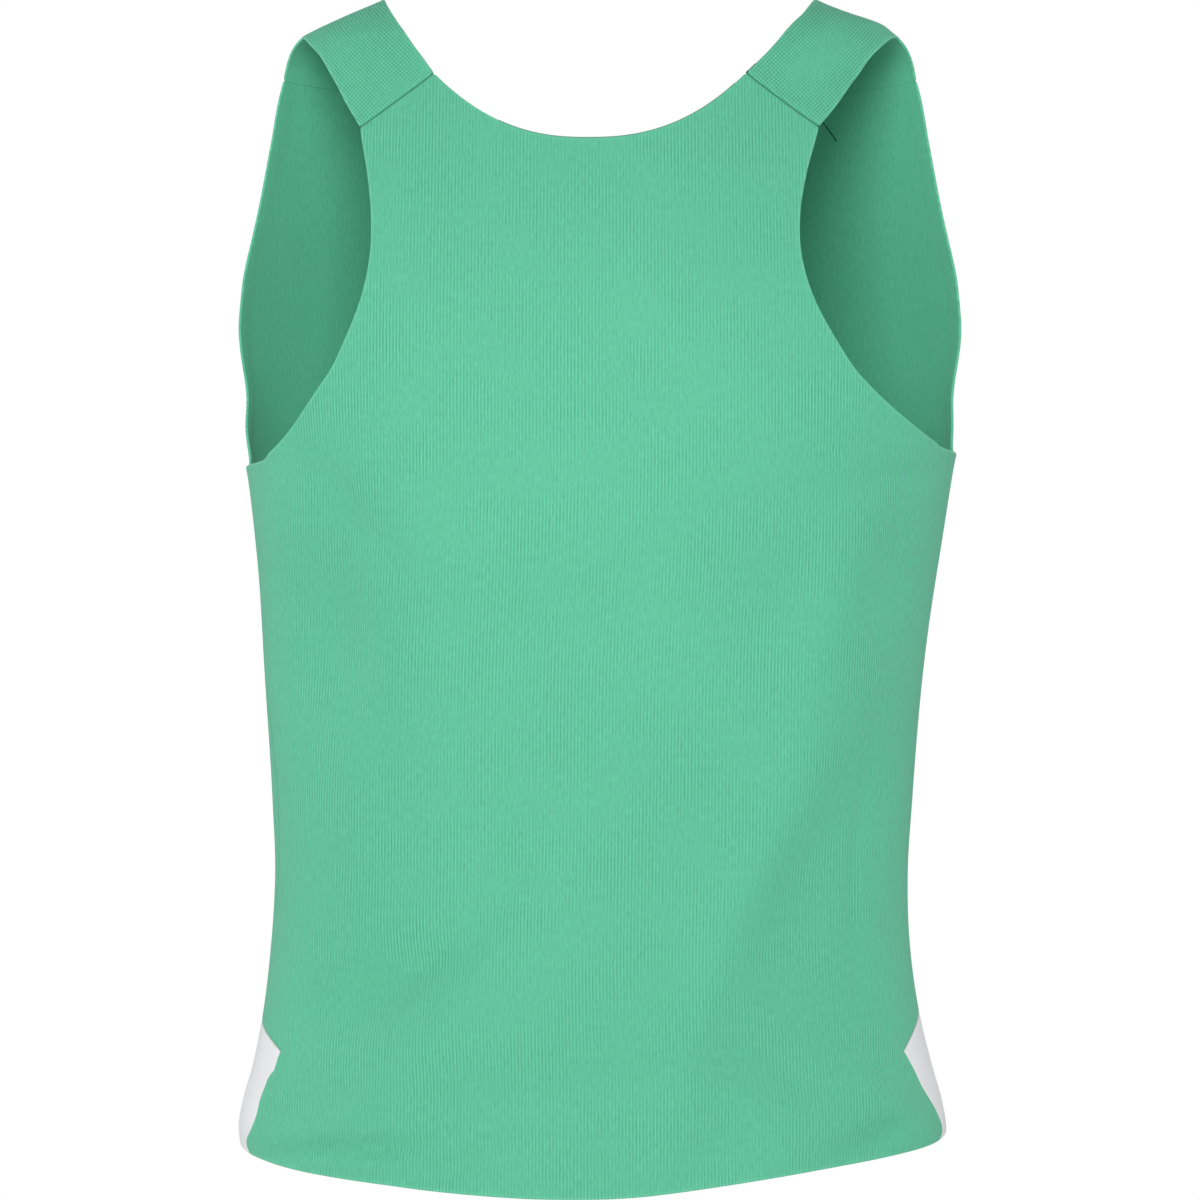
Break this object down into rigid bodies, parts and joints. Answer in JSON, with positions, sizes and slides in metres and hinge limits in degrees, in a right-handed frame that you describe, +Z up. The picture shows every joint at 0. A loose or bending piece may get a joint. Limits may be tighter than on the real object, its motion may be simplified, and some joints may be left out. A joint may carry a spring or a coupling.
{
  "type": "sports tank top",
  "caption": "Sleeveless sports tank top filled out as if worn, with a scoop neck, cut-in armholes, shoulder straps, a dropped curved hem and white side inserts.",
  "frame": {"origin": "midway between the two shoulder straps, level with their highest points, where a wearer's shoulders or a hanger hold the garment", "axes": "+Z up, from the hem to the shoulders; +Y towards the wearer's front; +X towards the wearer's right side"},
  "size_m": [0.3863, 0.2466, 0.6172],
  "materials": {
    "green_knit": "matte fine knit",
    "white_knit": "matte fine knit"
  },
  "bodies": {
    "root": {"back_panel": "green_knit", "front_panel": "green_knit", "strap_left": "green_knit", "strap_right": "green_knit", "side_insert_left": "white_knit", "side_insert_right": "white_knit"}
  },
  "joints": []
}
